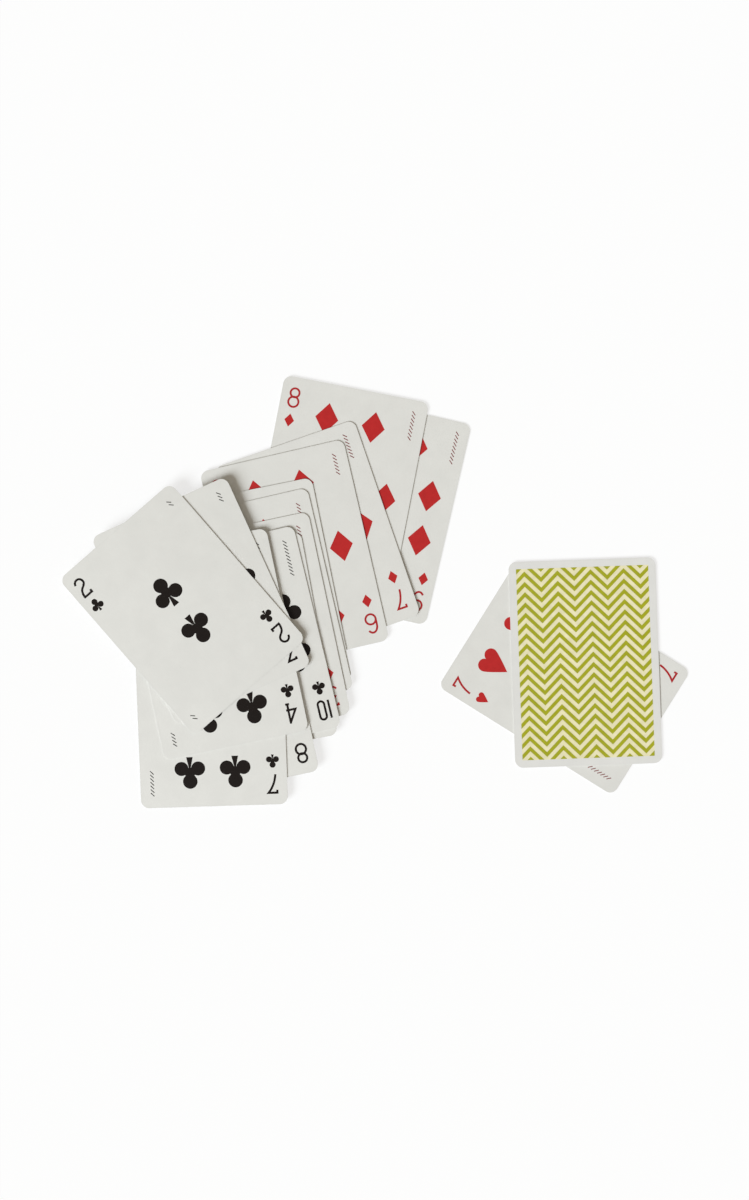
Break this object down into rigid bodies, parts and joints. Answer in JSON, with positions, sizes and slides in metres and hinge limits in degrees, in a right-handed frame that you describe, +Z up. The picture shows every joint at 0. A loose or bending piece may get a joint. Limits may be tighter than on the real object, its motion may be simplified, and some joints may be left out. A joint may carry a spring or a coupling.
{
  "type": "playing card deck",
  "caption": "Face-up spread of overlapping playing cards, with a face-down card lying across another beside it; the cards slide over one another and the face-down one turns over.",
  "frame": {"origin": "on the table, under the middle of the whole layout", "axes": "+X to the right along the layout's length, +Y away from the player, +Z up from the table"},
  "size_m": [0.2694, 0.1864, 0.005],
  "materials": {
    "face_paper": "smooth matt card stock, printed with suit pips and numbers",
    "back_paper": "smooth matt card stock, printed with yellow-green stripes"
  },
  "bodies": {
    "nine_of_diamonds": {"nine_of_diamonds_face_sheet": "face_paper", "nine_of_diamonds_back_sheet": "back_paper"},
    "eight_of_diamonds": {"eight_of_diamonds_face_sheet": "face_paper", "eight_of_diamonds_back_sheet": "back_paper"},
    "seven_of_diamonds": {"seven_of_diamonds_face_sheet": "face_paper", "seven_of_diamonds_back_sheet": "back_paper"},
    "six_of_diamonds": {"six_of_diamonds_face_sheet": "face_paper", "six_of_diamonds_back_sheet": "back_paper"},
    "five_of_diamonds": {"five_of_diamonds_face_sheet": "face_paper", "five_of_diamonds_back_sheet": "back_paper"},
    "four_of_diamonds": {"four_of_diamonds_face_sheet": "face_paper", "four_of_diamonds_back_sheet": "back_paper"},
    "three_of_diamonds": {"three_of_diamonds_face_sheet": "face_paper", "three_of_diamonds_back_sheet": "back_paper"},
    "two_of_diamonds": {"two_of_diamonds_face_sheet": "face_paper", "two_of_diamonds_back_sheet": "back_paper"},
    "ten_of_clubs": {"ten_of_clubs_face_sheet": "face_paper", "ten_of_clubs_back_sheet": "back_paper"},
    "eight_of_clubs": {"eight_of_clubs_face_sheet": "face_paper", "eight_of_clubs_back_sheet": "back_paper"},
    "seven_of_clubs": {"seven_of_clubs_face_sheet": "face_paper", "seven_of_clubs_back_sheet": "back_paper"},
    "four_of_clubs": {"four_of_clubs_face_sheet": "face_paper", "four_of_clubs_back_sheet": "back_paper"},
    "three_of_clubs": {"three_of_clubs_face_sheet": "face_paper", "three_of_clubs_back_sheet": "back_paper"},
    "two_of_clubs": {"two_of_clubs_face_sheet": "face_paper", "two_of_clubs_back_sheet": "back_paper"},
    "seven_of_hearts": {"seven_of_hearts_face_sheet": "face_paper", "seven_of_hearts_back_sheet": "back_paper"},
    "face_down_card": {"face_down_card_face_sheet": "face_paper", "face_down_card_back_sheet": "back_paper"}
  },
  "joints": [
    {"name": "eight_of_diamonds_slide", "type": "slide", "parent": "nine_of_diamonds", "child": "eight_of_diamonds", "axis": [-0.6428, -0.766, 0], "range_m": [0, 0.022]},
    {"name": "seven_of_diamonds_slide", "type": "slide", "parent": "eight_of_diamonds", "child": "seven_of_diamonds", "axis": [-0.6428, -0.766, 0], "range_m": [0, 0.02]},
    {"name": "six_of_diamonds_slide", "type": "slide", "parent": "seven_of_diamonds", "child": "six_of_diamonds", "axis": [-0.6428, -0.766, 0], "range_m": [0, 0.02]},
    {"name": "five_of_diamonds_slide", "type": "slide", "parent": "six_of_diamonds", "child": "five_of_diamonds", "axis": [-0.6428, -0.766, 0], "range_m": [0, 0.013]},
    {"name": "four_of_diamonds_slide", "type": "slide", "parent": "five_of_diamonds", "child": "four_of_diamonds", "axis": [-0.6428, -0.766, 0], "range_m": [0, 0.034]},
    {"name": "three_of_diamonds_slide", "type": "slide", "parent": "four_of_diamonds", "child": "three_of_diamonds", "axis": [-0.6428, -0.766, 0], "range_m": [0, 0.032]},
    {"name": "two_of_diamonds_slide", "type": "slide", "parent": "three_of_diamonds", "child": "two_of_diamonds", "axis": [-0.6428, -0.766, 0], "range_m": [0, 0.028]},
    {"name": "ten_of_clubs_slide", "type": "slide", "parent": "two_of_diamonds", "child": "ten_of_clubs", "axis": [-0.6428, -0.766, 0], "range_m": [0, 0.037]},
    {"name": "eight_of_clubs_slide", "type": "slide", "parent": "ten_of_clubs", "child": "eight_of_clubs", "axis": [-0.6428, -0.766, 0], "range_m": [0, 0.019]},
    {"name": "seven_of_clubs_slide", "type": "slide", "parent": "eight_of_clubs", "child": "seven_of_clubs", "axis": [-0.6428, -0.766, 0], "range_m": [0, 0.026]},
    {"name": "four_of_clubs_slide", "type": "slide", "parent": "seven_of_clubs", "child": "four_of_clubs", "axis": [-0.6428, -0.766, 0], "range_m": [0, 0.048]},
    {"name": "three_of_clubs_slide", "type": "slide", "parent": "four_of_clubs", "child": "three_of_clubs", "axis": [-0.6428, -0.766, 0], "range_m": [0, 0.033]},
    {"name": "two_of_clubs_slide", "type": "slide", "parent": "three_of_clubs", "child": "two_of_clubs", "axis": [-0.6428, -0.766, 0], "range_m": [0, 0.022]},
    {"name": "seven_of_hearts_slide", "type": "slide", "parent": "nine_of_diamonds", "child": "seven_of_hearts", "axis": [0.848, -0.5299, 0], "range_m": [0, 0.09]},
    {"name": "face_down_card_turn", "type": "hinge", "parent": "seven_of_hearts", "child": "face_down_card", "pos_m": [0.12223, -0.02923, 0.00066], "axis": [-0.0349, 0.9994, 0], "range_deg": [0, 180]}
  ]
}
